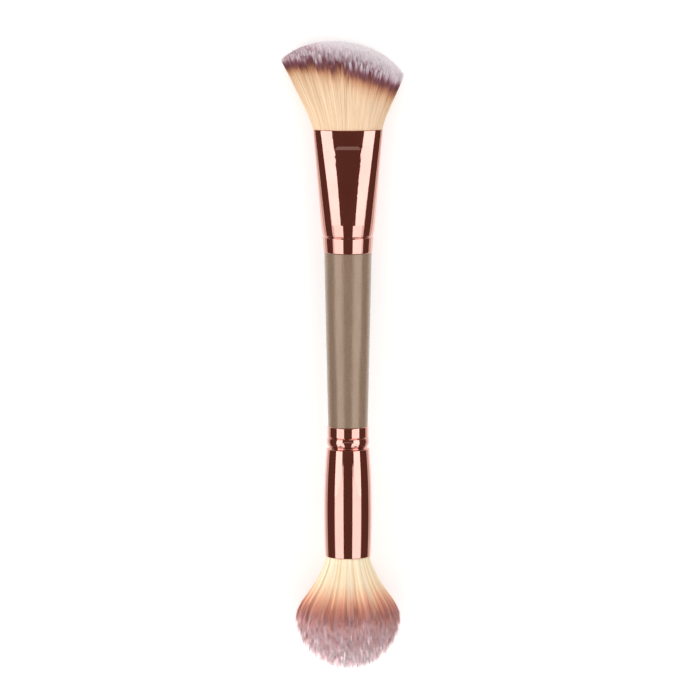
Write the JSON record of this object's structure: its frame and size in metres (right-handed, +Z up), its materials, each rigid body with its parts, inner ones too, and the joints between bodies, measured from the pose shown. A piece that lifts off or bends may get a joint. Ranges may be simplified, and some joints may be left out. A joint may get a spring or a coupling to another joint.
{
  "type": "double ended makeup brush",
  "caption": "Makeup brush with a slanted domed contour head on an oval ferrule at one end and a large round powder head at the other, lying on its side.",
  "frame": {"origin": "on the table, below the middle of the lying brush's bounding box", "axes": "+Y along the brush, from the powder head to the contour head; +X to the right when the contour head points away, the short side of the slanted head; +Z up"},
  "size_m": [0.0378, 0.195, 0.0319],
  "materials": {
    "lacquered_wood": "satin",
    "anodised_metal": "polished",
    "contour_fibre": "matte",
    "powder_fibre": "matte",
    "set_glue": "gloss"
  },
  "bodies": {
    "root": {"handle": "lacquered_wood", "contour_ferrule": "anodised_metal", "powder_ferrule": "anodised_metal", "contour_bristles": "contour_fibre", "powder_bristles": "powder_fibre", "contour_glue_plug": "set_glue", "powder_glue_plug": "set_glue"}
  },
  "joints": []
}
